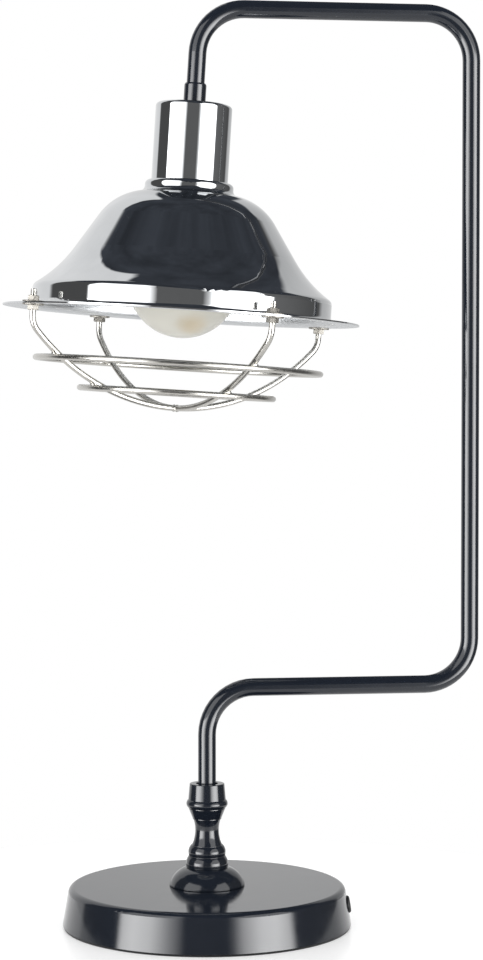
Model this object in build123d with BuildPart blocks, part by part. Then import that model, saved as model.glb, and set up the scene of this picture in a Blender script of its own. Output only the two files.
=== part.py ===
from build123d import *
import os
from math import asin, atan2, cos, degrees, radians, sin, sqrt, tan

os.makedirs("parts", exist_ok=True)

# Task lamp on a weighted round base: a turned column, a bent swing arm and a caged bell shade.
# Origin at the middle of the felt's underside, +Z up, +X towards the arm's tall post.
# All sizes are in millimetres and degrees.

# Clearances
SEAT_GAP = 0.02        # radial gap of pieces that are pressed or bonded together
THREAD_GAP = 0.05      # radial gap left for screw threads, which are drawn plain
RUNNING_GAP = 0.05     # radial gap of parts that turn in each other
HOLE_GAP = 0.2         # radial gap of clearance holes
LOOSE_GAP = 0.4        # gap of castings and plates that lie in a sheet cover

# Base: spun cover, cast weight, closing plate and felt
BASE_RADIUS = 97.0
BASE_TAPER = 4.2       # how far the wall draws in towards its top
BASE_HEIGHT = 27.0
BASE_EDGE_RADIUS = 4.0
COVER_SHEET = 1.2
FELT_THICKNESS = 1.5
FELT_INSET = 0.7
PLATE_THICKNESS = 1.5
WEIGHT_WEB = 7.0
WEIGHT_RIM = 15.0

# Cord inlet: a bushing snapped into the cover's wall
CORD_EXIT_ANGLE = -10.0
CORD_EXIT_HEIGHT = 14.5
CORD_BORE_RADIUS = 3.4
BUSHING_RADIUS = 4.8
BUSHING_HEAD_RADIUS = 5.8
BUSHING_HEAD = 1.6
BUSHING_LIP = 0.6
BUSHING_LIP_LENGTH = 2.5
BUSHING_TAIL = 3.0
CORD_SLOT_WIDTH = 16.0

# Column: hollow threaded rod, foot and turned body
ROD_RADIUS = 5.0
ROD_BORE_RADIUS = 3.5
ROD_TAIL = 3.0
ROD_NUT_FLATS = 14.0
ROD_NUT_HEIGHT = 4.0
ROD_WASHER_RADIUS = 11.0
ROD_WASHER_HEIGHT = 1.5
FOOT_RADIUS = 25.3
FOOT_RIM = 1.2
FOOT_TOP_RADIUS = 14.9
FOOT_HEIGHT = 12.0
FOOT_BULGE = 1.3
LOWER_BEAD_RADIUS = 14.2
LOWER_BEAD_HEIGHT = 7.6
UPPER_BEAD_RADIUS = 12.6
UPPER_BEAD_HEIGHT = 6.8
BEAD_DRAW = 1.6        # how far a bead draws in at its top
BEAD_BELLY = 0.3       # where a bead is widest, as a share of its height
BEAD_GROOVE = 0.6
NECK_RADIUS = 7.95
NECK_FOOT_RADIUS = 10.2
NECK_TOP_RADIUS = 9.3
NECK_HEIGHT = 17.6
STEP = 0.4             # small turned steps above and below the neck
FLARE_RADIUS = 12.3
FLARE_HEIGHT = 6.9

# Collar and swivel at the arm's foot
COLLAR_BEAD_RADIUS = 13.9
COLLAR_BEAD_HEIGHT = 5.7
COLLAR_BASE_RADIUS = 12.6
COLLAR_TOP_RADIUS = 11.65
COLLAR_HEIGHT = 16.5
COLLAR_LIP = 0.5
COLLAR_FLOOR = 3.0
BUSH_WALL = 1.25
BUSH_HEIGHT = 3.6
BUSH_RECESS = 3.2      # how deep the upper bush lies below the collar's rim
SPIGOT_WALL = 0.9      # thread wall between the collar's spigot and the nut pocket
THRUST_WASHER_HEIGHT = 1.0
STUD_SHOULDER = 1.0
STUD_TAIL_RADIUS = 4.0
STUD_BORE_RADIUS = 2.8
STUD_PLUG = 11.0
SPRING_WASHER_HEIGHT = 0.8
SPRING_WASHER_RADIUS = 6.4
SWIVEL_NUT_FLATS = 11.0
SWIVEL_NUT_HEIGHT = 3.5
STOP_PIN_RADIUS = 1.0
STOP_PIN_REACH = 1.5   # how far the pin stands past the bushes' seat
STOP_KEY_HALF_ANGLE = 6.0

# Arm: one bent tube
TUBE_RADIUS = 6.0
TUBE_WALL = 1.2
ARM_REACH = 180.5
ARM_LOW_HEIGHT = 160.2
ARM_TOP_HEIGHT = 614.0
ARM_BEND_RADIUS = 31.5
ARM_END_X = -4.3

# Head: everything on the tilted axis, with heights from the shade's flange
HEAD_TILT = 3.6
HEAD_DROP = 204.9      # from the top run's centre line to the flange
SHADE_SHEET = 0.9
BAND_RADIUS = 99.8
FLANGE_WIDTH = 19.2
BAND_HEIGHT = 15.1
BAND_CORNER_RADIUS = 4.5
FLANGE_CORNER_RADIUS = 3.6
CONE_ANGLE = 33.0
SHOULDER_RADIUS = 38.6
SHOULDER_CENTRE_RADIUS = 26.3
SHOULDER_TOP = 81.8
SHADE_FLARE_RADIUS = 86.0
SHADE_NECK_RADIUS = 29.6
SHADE_NECK_HEIGHT = 7.5
NECK_CORNER_RADIUS = 3.0
NECK_ROOT_RADIUS = 4.0
CUP_RADIUS = 25.5
CUP_HEIGHT = 51.6
CUP_SHEET = 1.0
CUP_CORNER_RADIUS = 2.4
COUPLER_RADIUS = 7.4
COUPLER_HEIGHT = 14.0
COUPLER_CHAMFER = 1.1
COUPLER_SOCKET = 8.0

# Lampholder in the cup
HOLDER_RADIUS = 19.5
HOLDER_SHOULDER_RADIUS = 22.5
HOLDER_SHOULDER_HEIGHT = 2.0
HOLDER_SKIRT = 9.0     # how far the threaded skirt reaches below the shade's top plate
HOLDER_HEIGHT = 41.0
HOLDER_FLOOR = 2.5
HOLDER_CAP_RADIUS = 17.5
HOLDER_CAP_HEIGHT = 10.0
HOLDER_CAP_WALL = 3.0
HOLDER_BOSS_RADIUS = 8.5
HEAD_NUT_HEIGHT = 3.5
SHADE_RING_RADIUS = 25.5
SHADE_RING_HEIGHT = 4.5
SHELL_WALL = 0.6
SHELL_LENGTH = 25.0
CONTACT_HEIGHT = 1.3
CONTACT_LENGTH = 8.0
CONTACT_WIDTH = 5.0

# Rotary switch in the holder's cap, with its knob behind the cup
SWITCH_SHAFT_RADIUS = 2.0
SWITCH_HOLE_RADIUS = 3.4
SWITCH_FERRULE_RADIUS = 4.6
SWITCH_FERRULE_HEAD = 1.0
KNOB_RADIUS = 6.5
KNOB_LENGTH = 12.0
KNOB_STANDOFF = 0.5
KNOB_FLUTES = 12
KNOB_FLUTE_RADIUS = 0.9
KNOB_BORE_DEPTH = 9.0

# Bulb
BULB_RADIUS = 37.5
BULB_REACH = 14.7      # how far the bulb's tip stands below the flange
BULB_GLASS = 0.8
BULB_SHOULDER_ANGLE = 40.0
BULB_CAP_RADIUS = 13.1
BULB_CAP_WALL = 0.5
BULB_CAP_LENGTH = 22.0
BULB_NECK_ENGAGEMENT = 7.0
BULB_TIP_RADIUS = 4.5
BULB_TIP_HEIGHT = 2.2
BULB_INSULATOR_HEIGHT = 2.0
STEM_RADIUS = 4.5
STEM_LENGTH = 38.0
STEM_FLARE = 1.5
FILAMENT_SPAN = 7.0
FILAMENT_DROP = 26.0
FILAMENT_RADIUS = 0.3
LEAD_RADIUS = 0.5

# Wire guard
WIRE_RADIUS = 2.0
GUARD_ANGLE = 24.4     # first leg, from the head's +X towards +Y
GUARD_LEGS = 4
LEG_EDGE = 7.6         # from a leg's middle to the flange's edge
LEG_RUN = 3.0          # straight wire below the lower nut
LEG_BEND_RADIUS = 14.0
BOWL_DEPTH = 61.6
UPPER_RING_SHARE = 0.835  # of the bowl's arc, from its bottom to the leg's bend
LOWER_RING_SHARE = 0.544
WELD_GAP = 0.02
GUARD_NUT_FLATS = 7.0
GUARD_NUT_HEIGHT = 3.2
GUARD_WASHER_RADIUS = 7.0
GUARD_WASHER_HEIGHT = 1.0
THREAD_END = 4.0

# Planes and axes
HEAD_UP = Vector(sin(radians(HEAD_TILT)), 0, cos(radians(HEAD_TILT)))
HEAD_SIDE = Vector(cos(radians(HEAD_TILT)), 0, -sin(radians(HEAD_TILT)))
ARM_END = Vector(ARM_END_X, 0, ARM_TOP_HEIGHT)
HEAD = Plane(origin=ARM_END - HEAD_UP * HEAD_DROP, x_dir=HEAD_SIDE, z_dir=HEAD_UP)
HEAD_AXIS = Axis(HEAD.origin, HEAD.z_dir)
HEAD_PROFILE = Plane(origin=HEAD.origin, x_dir=HEAD.x_dir, z_dir=-HEAD.y_dir)

# Radii and heights in the base and the column
BASE_TOP_RADIUS = BASE_RADIUS - BASE_TAPER
COVER_INSIDE = BASE_HEIGHT - COVER_SHEET
WEB_BOTTOM = COVER_INSIDE - WEIGHT_WEB
RIM_BOTTOM = FELT_THICKNESS + PLATE_THICKNESS
ROD_NUT_TOP = WEB_BOTTOM - ROD_WASHER_HEIGHT
ROD_BOTTOM = ROD_NUT_TOP - ROD_NUT_HEIGHT - ROD_TAIL
COLUMN_BOTTOM = BASE_HEIGHT + FOOT_HEIGHT
UPPER_BEAD_BOTTOM = COLUMN_BOTTOM + LOWER_BEAD_HEIGHT + BEAD_GROOVE
NECK_BOTTOM = UPPER_BEAD_BOTTOM + UPPER_BEAD_HEIGHT + STEP
NECK_TOP = NECK_BOTTOM + NECK_HEIGHT
COLLAR_SEAT = NECK_TOP + STEP + FLARE_HEIGHT
COLLAR_TOP = COLLAR_SEAT + COLLAR_HEIGHT
WALL_LEAN = (BASE_RADIUS - BASE_TOP_RADIUS) / (BASE_HEIGHT - FELT_THICKNESS)


def wall_radius(height, inset=0.0):
    """Radius of the cover's wall at a height, or of a face that lies inset inside it."""
    slant = sqrt(1 + WALL_LEAN ** 2)
    return BASE_RADIUS - WALL_LEAN * (height - FELT_THICKNESS) - inset * slant


# Heights in the swivel
SWIVEL_NUT_CORNER = SWIVEL_NUT_FLATS / 2 / cos(radians(30))
POCKET_RADIUS = SWIVEL_NUT_CORNER + LOOSE_GAP
SPIGOT_RADIUS = POCKET_RADIUS + SPIGOT_WALL
SPIGOT_BOTTOM = COLLAR_SEAT - COLLAR_FLOOR
SWIVEL_NUT_TOP = SPIGOT_BOTTOM - SPRING_WASHER_HEIGHT
STUD_BOTTOM = SWIVEL_NUT_TOP - SWIVEL_NUT_HEIGHT - STEP
POCKET_BOTTOM = STUD_BOTTOM - LOOSE_GAP
ROD_TOP = POCKET_BOTTOM - STEP
SHOULDER_BOTTOM = COLLAR_SEAT + THRUST_WASHER_HEIGHT
TUBE_BOTTOM = SHOULDER_BOTTOM + STUD_SHOULDER
TUBE_BORE_RADIUS = TUBE_RADIUS - TUBE_WALL
BUSH_BORE_RADIUS = TUBE_RADIUS + RUNNING_GAP
COLLAR_BORE_RADIUS = BUSH_BORE_RADIUS + BUSH_WALL
LOWER_BUSH_BOTTOM = SHOULDER_BOTTOM + LOOSE_GAP
UPPER_BUSH_BOTTOM = COLLAR_TOP - BUSH_RECESS - BUSH_HEIGHT
STOP_HEIGHT = (LOWER_BUSH_BOTTOM + BUSH_HEIGHT + UPPER_BUSH_BOTTOM) / 2
STOP_GROOVE_RADIUS = COLLAR_BORE_RADIUS + STOP_PIN_REACH + LOOSE_GAP
STOP_GROOVE_HALF = STOP_PIN_RADIUS + LOOSE_GAP

# Heights on the head's axis, from the flange's underside
SHADE_TOP = SHOULDER_TOP + SHADE_NECK_HEIGHT
CUP_TOP = SHADE_TOP + CUP_HEIGHT
COUPLER_TOP = CUP_TOP + COUPLER_HEIGHT
ARM_TIP = COUPLER_TOP - COUPLER_SOCKET
HEAD_NUT_BOTTOM = CUP_TOP - CUP_SHEET - HEAD_NUT_HEIGHT
HOLDER_BOTTOM = SHADE_TOP - HOLDER_SKIRT
HOLDER_TOP = HOLDER_BOTTOM + HOLDER_HEIGHT
HOLDER_CEILING = HOLDER_TOP - HOLDER_FLOOR
HOLDER_CAP_TOP = HOLDER_TOP + HOLDER_CAP_HEIGHT
SHELL_RADIUS = BULB_CAP_RADIUS + 2 * HOLE_GAP + SHELL_WALL
SHELL_BOTTOM = HOLDER_CEILING - SHELL_LENGTH
SWITCH_HEIGHT = HOLDER_TOP + (HOLDER_CAP_HEIGHT - HOLDER_CAP_WALL) / 2
SWITCH = Plane(origin=HEAD.origin + HEAD_UP * SWITCH_HEIGHT, x_dir=HEAD.x_dir, z_dir=HEAD.y_dir)
BULB_CENTRE = BULB_RADIUS - BULB_REACH
BULB_TIP_TOP = HOLDER_CEILING - CONTACT_HEIGHT
BULB_CAP_TOP = BULB_TIP_TOP - BULB_TIP_HEIGHT - BULB_INSULATOR_HEIGHT
BULB_CAP_BOTTOM = BULB_CAP_TOP - BULB_CAP_LENGTH
BULB_NECK_RADIUS = BULB_CAP_RADIUS - BULB_CAP_WALL - HOLE_GAP
BULB_NECK_TOP = BULB_CAP_BOTTOM + BULB_NECK_ENGAGEMENT

# Guard geometry in a plane through two legs: the bowl's arc is tangent to the bends of both
FLANGE_RADIUS = BAND_RADIUS + FLANGE_WIDTH
LEG_CIRCLE_RADIUS = FLANGE_RADIUS - LEG_EDGE
BEND_CENTRE_X = LEG_CIRCLE_RADIUS - LEG_BEND_RADIUS
BEND_CENTRE_Y = -GUARD_WASHER_HEIGHT - GUARD_NUT_HEIGHT - LEG_RUN
BEND_DEPTH = BOWL_DEPTH + BEND_CENTRE_Y
BOWL_RADIUS = (BEND_CENTRE_X ** 2 + BEND_DEPTH ** 2 - LEG_BEND_RADIUS ** 2) / (
    2 * (BEND_DEPTH - LEG_BEND_RADIUS)
)
BOWL_CENTRE = BOWL_RADIUS - BOWL_DEPTH
BOWL_HALF_ANGLE = degrees(atan2(BEND_CENTRE_X, BOWL_CENTRE - BEND_CENTRE_Y))
LEG_TOP = SHADE_SHEET + GUARD_WASHER_HEIGHT + GUARD_NUT_HEIGHT + THREAD_END


def save(piece, name):
    """Label a finished piece and write it under its node's name."""
    piece.part.label = name
    export_step(piece.part, f"parts/{name}.step")


def ring(plane, height, outer, inner):
    """A flat ring that stands on a plane."""
    with BuildPart() as piece:
        with BuildSketch(plane):
            Circle(outer)
            Circle(inner, mode=Mode.SUBTRACT)
        extrude(amount=height)
    return piece


def hex_nut(plane, height, flats, bore):
    """A hexagon nut that stands on a plane."""
    with BuildPart() as piece:
        with BuildSketch(plane):
            RegularPolygon(radius=flats / 2, side_count=6, major_radius=False)
            Circle(bore, mode=Mode.SUBTRACT)
        extrude(amount=height)
    return piece


# Base cover, with its hole for the column's rod and its hole for the cord bushing
WALL_NORMAL = Vector(1, 0, WALL_LEAN).normalized().rotate(Axis.Z, CORD_EXIT_ANGLE)
WALL_POINT = Vector(wall_radius(CORD_EXIT_HEIGHT), 0, CORD_EXIT_HEIGHT).rotate(Axis.Z, CORD_EXIT_ANGLE)
INLET = Plane(origin=WALL_POINT, z_dir=WALL_NORMAL)
with BuildPart() as base_cover:
    with BuildSketch(Plane.XZ):
        with BuildLine():
            Polyline(
                (0, FELT_THICKNESS),
                (BASE_RADIUS, FELT_THICKNESS),
                (BASE_TOP_RADIUS, BASE_HEIGHT),
                (0, BASE_HEIGHT),
                close=True,
            )
        make_face()
    revolve(axis=Axis.Z)
    fillet(base_cover.edges().group_by(Axis.Z)[-1], BASE_EDGE_RADIUS)
    offset(amount=-COVER_SHEET, openings=base_cover.faces().sort_by(Axis.Z)[0])
    with BuildSketch(Plane.XY.offset(BASE_HEIGHT)):
        Circle(ROD_RADIUS + HOLE_GAP)
    extrude(amount=-2 * COVER_SHEET, mode=Mode.SUBTRACT)
    with BuildSketch(INLET):
        Circle(BUSHING_RADIUS + SEAT_GAP)
    extrude(amount=2 * COVER_SHEET, both=True, mode=Mode.SUBTRACT)
save(base_cover, "base_cover")

# Cast weight under the cover, with a cavity and a slot for the cord
with BuildPart() as base_weight:
    with BuildSketch(Plane.XZ):
        with BuildLine():
            rim_low = wall_radius(RIM_BOTTOM, COVER_SHEET + LOOSE_GAP)
            rim_high = wall_radius(COVER_INSIDE, COVER_SHEET + LOOSE_GAP)
            cavity = rim_low - WEIGHT_RIM
            Polyline(
                (ROD_RADIUS + HOLE_GAP, COVER_INSIDE),
                (rim_high, COVER_INSIDE),
                (rim_low, RIM_BOTTOM),
                (cavity, RIM_BOTTOM),
                (cavity, WEB_BOTTOM),
                (ROD_RADIUS + HOLE_GAP, WEB_BOTTOM),
                close=True,
            )
        make_face()
    revolve(axis=Axis.Z)
    top_edge = base_weight.edges().group_by(Axis.Z)[-1].sort_by(SortBy.RADIUS)[-1]
    fillet(top_edge, BASE_EDGE_RADIUS)
    slot_plane = Plane.XY.offset(RIM_BOTTOM).rotated((0, 0, CORD_EXIT_ANGLE))
    with BuildSketch(slot_plane):
        with Locations((BASE_RADIUS - WEIGHT_RIM, 0)):
            Rectangle(2 * WEIGHT_RIM, CORD_SLOT_WIDTH)
    slot_top = CORD_EXIT_HEIGHT + BUSHING_RADIUS + BUSHING_LIP + LOOSE_GAP
    extrude(amount=slot_top - RIM_BOTTOM, mode=Mode.SUBTRACT)
save(base_weight, "base_weight")

# Closing plate and felt
plate_radius = wall_radius(RIM_BOTTOM, COVER_SHEET + LOOSE_GAP)
with BuildPart() as base_plate:
    with BuildSketch(Plane.XY.offset(FELT_THICKNESS)):
        Circle(plate_radius)
    extrude(amount=PLATE_THICKNESS)
save(base_plate, "base_plate")

with BuildPart() as felt_pad:
    with BuildSketch(Plane.XY):
        Circle(BASE_RADIUS - FELT_INSET)
    extrude(amount=FELT_THICKNESS)
save(felt_pad, "felt_pad")

# Cord bushing, turned about the wall's normal at the inlet
with BuildPart() as cord_bushing:
    inlet_profile = Plane(origin=INLET.origin, x_dir=INLET.x_dir, z_dir=-INLET.y_dir)
    grip = -COVER_SHEET - HOLE_GAP
    lip_end = grip - BUSHING_LIP_LENGTH
    with BuildSketch(inlet_profile):
        with BuildLine():
            Polyline(
                (CORD_BORE_RADIUS, BUSHING_HEAD),
                (BUSHING_HEAD_RADIUS, BUSHING_HEAD),
                (BUSHING_HEAD_RADIUS, 0),
                (BUSHING_RADIUS, 0),
                (BUSHING_RADIUS, grip),
                (BUSHING_RADIUS + BUSHING_LIP, grip),
                (BUSHING_RADIUS, lip_end),
                (BUSHING_RADIUS, lip_end - BUSHING_TAIL),
                (CORD_BORE_RADIUS, lip_end - BUSHING_TAIL),
                close=True,
            )
        make_face()
    revolve(axis=Axis(INLET.origin, INLET.z_dir))
    head_edge = cord_bushing.faces().sort_by(Axis(INLET.origin, INLET.z_dir))[-1].edges()
    fillet(head_edge, BUSHING_HEAD / 4)
save(cord_bushing, "cord_bushing")

# Hollow threaded rod that clamps the column to the base, with its washer and nut
base_rod = ring(Plane.XY.offset(ROD_BOTTOM), ROD_TOP - ROD_BOTTOM, ROD_RADIUS, ROD_BORE_RADIUS)
save(base_rod, "base_rod")
rod_washer = ring(
    Plane.XY.offset(ROD_NUT_TOP), ROD_WASHER_HEIGHT, ROD_WASHER_RADIUS, ROD_RADIUS + HOLE_GAP
)
save(rod_washer, "rod_washer")
rod_nut = hex_nut(
    Plane.XY.offset(ROD_NUT_TOP - ROD_NUT_HEIGHT), ROD_NUT_HEIGHT, ROD_NUT_FLATS, ROD_RADIUS + THREAD_GAP
)
save(rod_nut, "rod_nut")

# Domed foot under the column
with BuildPart() as column_foot:
    rim_top = (FOOT_RADIUS, BASE_HEIGHT + FOOT_RIM)
    dome_top = (FOOT_TOP_RADIUS, COLUMN_BOTTOM)
    dome_middle = (
        (rim_top[0] + dome_top[0]) / 2 + FOOT_BULGE,
        (rim_top[1] + dome_top[1]) / 2 + FOOT_BULGE,
    )
    with BuildSketch(Plane.XZ):
        with BuildLine():
            Polyline(
                dome_top,
                (ROD_RADIUS + HOLE_GAP, COLUMN_BOTTOM),
                (ROD_RADIUS + HOLE_GAP, BASE_HEIGHT),
                (FOOT_RADIUS - STEP, BASE_HEIGHT),
                (FOOT_RADIUS, BASE_HEIGHT + STEP),
                rim_top,
            )
            ThreePointArc(rim_top, dome_middle, dome_top)
        make_face()
    revolve(axis=Axis.Z)
save(column_foot, "column_foot")

# Turned column body: two beads, a waisted neck and a flare under the collar
with BuildPart() as column_body:
    lower_bead_top = (LOWER_BEAD_RADIUS - BEAD_DRAW, COLUMN_BOTTOM + LOWER_BEAD_HEIGHT)
    upper_bead_top = (UPPER_BEAD_RADIUS - BEAD_DRAW, UPPER_BEAD_BOTTOM + UPPER_BEAD_HEIGHT)
    neck_middle = (NECK_RADIUS, NECK_BOTTOM + NECK_HEIGHT / 2)
    with BuildSketch(Plane.XZ):
        with BuildLine():
            Line((ROD_RADIUS + THREAD_GAP, COLUMN_BOTTOM), (LOWER_BEAD_RADIUS - STEP, COLUMN_BOTTOM))
            ThreePointArc(
                (LOWER_BEAD_RADIUS - STEP, COLUMN_BOTTOM),
                (LOWER_BEAD_RADIUS, COLUMN_BOTTOM + LOWER_BEAD_HEIGHT * BEAD_BELLY),
                lower_bead_top,
            )
            Polyline(
                lower_bead_top,
                (UPPER_BEAD_RADIUS - 2 * STEP, lower_bead_top[1]),
                (UPPER_BEAD_RADIUS - 2 * STEP, UPPER_BEAD_BOTTOM),
                (UPPER_BEAD_RADIUS - STEP, UPPER_BEAD_BOTTOM),
            )
            ThreePointArc(
                (UPPER_BEAD_RADIUS - STEP, UPPER_BEAD_BOTTOM),
                (UPPER_BEAD_RADIUS, UPPER_BEAD_BOTTOM + UPPER_BEAD_HEIGHT * BEAD_BELLY),
                upper_bead_top,
            )
            Polyline(
                upper_bead_top,
                (NECK_FOOT_RADIUS + STEP, upper_bead_top[1]),
                (NECK_FOOT_RADIUS + STEP, NECK_BOTTOM),
                (NECK_FOOT_RADIUS, NECK_BOTTOM),
            )
            ThreePointArc((NECK_FOOT_RADIUS, NECK_BOTTOM), neck_middle, (NECK_TOP_RADIUS, NECK_TOP))
            Polyline(
                (NECK_TOP_RADIUS, NECK_TOP),
                (NECK_TOP_RADIUS + STEP, NECK_TOP),
                (NECK_TOP_RADIUS + STEP, NECK_TOP + STEP),
                (FLARE_RADIUS, COLLAR_SEAT - STEP),
                (FLARE_RADIUS, COLLAR_SEAT),
                (SPIGOT_RADIUS + THREAD_GAP, COLLAR_SEAT),
                (SPIGOT_RADIUS + THREAD_GAP, SPIGOT_BOTTOM - STEP),
                (POCKET_RADIUS, SPIGOT_BOTTOM - STEP),
                (POCKET_RADIUS, POCKET_BOTTOM),
                (ROD_RADIUS + THREAD_GAP, POCKET_BOTTOM),
                (ROD_RADIUS + THREAD_GAP, COLUMN_BOTTOM),
            )
        make_face()
    revolve(axis=Axis.Z)
save(column_body, "column_body")

# Collar that carries the arm, with a groove for the stop pin and a key that ends its travel
with BuildPart() as arm_collar:
    bead_top = (COLLAR_BASE_RADIUS, COLLAR_SEAT + COLLAR_BEAD_HEIGHT)
    with BuildSketch(Plane.XZ):
        with BuildLine():
            ThreePointArc(
                (FLARE_RADIUS, COLLAR_SEAT),
                (COLLAR_BEAD_RADIUS, COLLAR_SEAT + COLLAR_BEAD_HEIGHT / 2),
                bead_top,
            )
            Polyline(
                bead_top,
                (COLLAR_TOP_RADIUS, COLLAR_TOP),
                (COLLAR_BORE_RADIUS, COLLAR_TOP),
                (COLLAR_BORE_RADIUS, COLLAR_SEAT),
                (STUD_TAIL_RADIUS + RUNNING_GAP, COLLAR_SEAT),
                (STUD_TAIL_RADIUS + RUNNING_GAP, SPIGOT_BOTTOM),
                (SPIGOT_RADIUS, SPIGOT_BOTTOM),
                (SPIGOT_RADIUS, COLLAR_SEAT),
                (FLARE_RADIUS, COLLAR_SEAT),
            )
        make_face()
    revolve(axis=Axis.Z)
    fillet(arm_collar.faces().sort_by(Axis.Z)[-1].edges(), COLLAR_LIP)
    key_side = COLLAR_BEAD_RADIUS * tan(radians(STOP_KEY_HALF_ANGLE))
    with BuildSketch(Plane.XY.offset(STOP_HEIGHT - STOP_GROOVE_HALF)):
        Circle(STOP_GROOVE_RADIUS)
        with BuildLine():
            Polyline(
                (0, 0), (COLLAR_BEAD_RADIUS, key_side), (COLLAR_BEAD_RADIUS, -key_side), close=True
            )
        make_face(mode=Mode.SUBTRACT)
    extrude(amount=2 * STOP_GROOVE_HALF, mode=Mode.SUBTRACT)
save(arm_collar, "arm_collar")

# Two plain bushes and a thrust washer that the arm turns on
with BuildPart() as swivel_bushes:
    for bush_bottom in (LOWER_BUSH_BOTTOM, UPPER_BUSH_BOTTOM):
        with BuildSketch(Plane.XY.offset(bush_bottom)):
            Circle(COLLAR_BORE_RADIUS - SEAT_GAP)
            Circle(BUSH_BORE_RADIUS, mode=Mode.SUBTRACT)
        extrude(amount=BUSH_HEIGHT)
save(swivel_bushes, "swivel_bushes")
thrust_washer = ring(
    Plane.XY.offset(COLLAR_SEAT),
    THRUST_WASHER_HEIGHT,
    COLLAR_BORE_RADIUS - HOLE_GAP,
    STUD_TAIL_RADIUS + HOLE_GAP,
)
save(thrust_washer, "thrust_washer")

# Hollow stud brazed into the arm's foot, with its radial stop pin
STOP_RADIUS = COLLAR_BORE_RADIUS + STOP_PIN_REACH
STOP = Plane(origin=(0, 0, STOP_HEIGHT), z_dir=(-1, 0, 0))
with BuildPart() as swivel_stud:
    with BuildSketch(Plane.XZ):
        with BuildLine():
            Polyline(
                (STUD_BORE_RADIUS, STUD_BOTTOM),
                (STUD_TAIL_RADIUS, STUD_BOTTOM),
                (STUD_TAIL_RADIUS, SHOULDER_BOTTOM),
                (TUBE_RADIUS, SHOULDER_BOTTOM),
                (TUBE_RADIUS, TUBE_BOTTOM),
                (TUBE_BORE_RADIUS - SEAT_GAP, TUBE_BOTTOM),
                (TUBE_BORE_RADIUS - SEAT_GAP, TUBE_BOTTOM + STUD_PLUG),
                (STUD_BORE_RADIUS, TUBE_BOTTOM + STUD_PLUG),
                close=True,
            )
        make_face()
    revolve(axis=Axis.Z)
    with BuildSketch(STOP):
        Circle(STOP_PIN_RADIUS + SEAT_GAP)
    extrude(amount=STOP_RADIUS, mode=Mode.SUBTRACT)
save(swivel_stud, "swivel_stud")

with BuildPart() as stop_pin:
    with BuildSketch(STOP.offset(STUD_BORE_RADIUS + STEP)):
        Circle(STOP_PIN_RADIUS)
    extrude(amount=STOP_RADIUS - STUD_BORE_RADIUS - STEP)
save(stop_pin, "stop_pin")

# Spring washer and nut that hold the arm down and give the swivel its drag
spring_washer = ring(
    Plane.XY.offset(SWIVEL_NUT_TOP), SPRING_WASHER_HEIGHT, SPRING_WASHER_RADIUS, STUD_TAIL_RADIUS + HOLE_GAP
)
save(spring_washer, "spring_washer")
swivel_nut = hex_nut(
    Plane.XY.offset(SWIVEL_NUT_TOP - SWIVEL_NUT_HEIGHT),
    SWIVEL_NUT_HEIGHT,
    SWIVEL_NUT_FLATS,
    STUD_TAIL_RADIUS + THREAD_GAP,
)
save(swivel_nut, "swivel_nut")

# Arm tube: up from the collar, out to the post, up, back over the base and down into the coupler
with BuildPart() as arm_tube:
    with BuildLine() as arm_route:
        FilletPolyline(
            (0, 0, TUBE_BOTTOM),
            (0, 0, ARM_LOW_HEIGHT),
            (ARM_REACH, 0, ARM_LOW_HEIGHT),
            (ARM_REACH, 0, ARM_TOP_HEIGHT),
            ARM_END,
            HEAD.origin + HEAD_UP * ARM_TIP,
            radius=ARM_BEND_RADIUS,
        )
    with BuildSketch(Plane.XY.offset(TUBE_BOTTOM)):
        Circle(TUBE_RADIUS)
        Circle(TUBE_BORE_RADIUS, mode=Mode.SUBTRACT)
    sweep(path=arm_route.wires()[0])
    with BuildSketch(STOP):
        Circle(STOP_PIN_RADIUS + SEAT_GAP)
    extrude(amount=STOP_RADIUS, mode=Mode.SUBTRACT)
save(arm_tube, "arm_tube")

# Coupler between the arm's tip and the head
with BuildPart() as head_coupler:
    with BuildSketch(HEAD_PROFILE):
        with BuildLine():
            Polyline(
                (ROD_RADIUS + THREAD_GAP, CUP_TOP),
                (COUPLER_RADIUS, CUP_TOP),
                (COUPLER_RADIUS, COUPLER_TOP - COUPLER_CHAMFER),
                (COUPLER_RADIUS - COUPLER_CHAMFER / 2, COUPLER_TOP),
                (TUBE_RADIUS + SEAT_GAP, COUPLER_TOP),
                (TUBE_RADIUS + SEAT_GAP, ARM_TIP),
                (ROD_RADIUS + THREAD_GAP, ARM_TIP),
                close=True,
            )
        make_face()
    revolve(axis=HEAD_AXIS)
save(head_coupler, "head_coupler")

# Hollow threaded rod from the coupler through the cup into the lampholder, with its nut
HEAD_ROD_BOTTOM = HOLDER_CAP_TOP - HOLDER_CAP_WALL
head_rod = ring(
    HEAD.offset(HEAD_ROD_BOTTOM), ARM_TIP - STEP - HEAD_ROD_BOTTOM, ROD_RADIUS, ROD_BORE_RADIUS
)
save(head_rod, "head_rod")
head_nut = hex_nut(HEAD.offset(HEAD_NUT_BOTTOM), HEAD_NUT_HEIGHT, ROD_NUT_FLATS, ROD_RADIUS + THREAD_GAP)
save(head_nut, "head_nut")

# Drawn socket cup, open below, with a hole behind for the switch
with BuildPart() as socket_cup:
    with BuildSketch(HEAD.offset(SHADE_TOP)):
        Circle(CUP_RADIUS)
    extrude(amount=CUP_HEIGHT)
    fillet(socket_cup.faces().sort_by(HEAD_AXIS)[-1].edges(), CUP_CORNER_RADIUS)
    offset(amount=-CUP_SHEET, openings=socket_cup.faces().sort_by(HEAD_AXIS)[0])
    with BuildSketch(HEAD.offset(CUP_TOP)):
        Circle(ROD_RADIUS + HOLE_GAP)
    extrude(amount=-2 * CUP_SHEET, mode=Mode.SUBTRACT)
    with BuildSketch(SWITCH):
        Circle(SWITCH_HOLE_RADIUS)
    extrude(amount=CUP_RADIUS + CUP_SHEET, mode=Mode.SUBTRACT)
save(socket_cup, "socket_cup")

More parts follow.
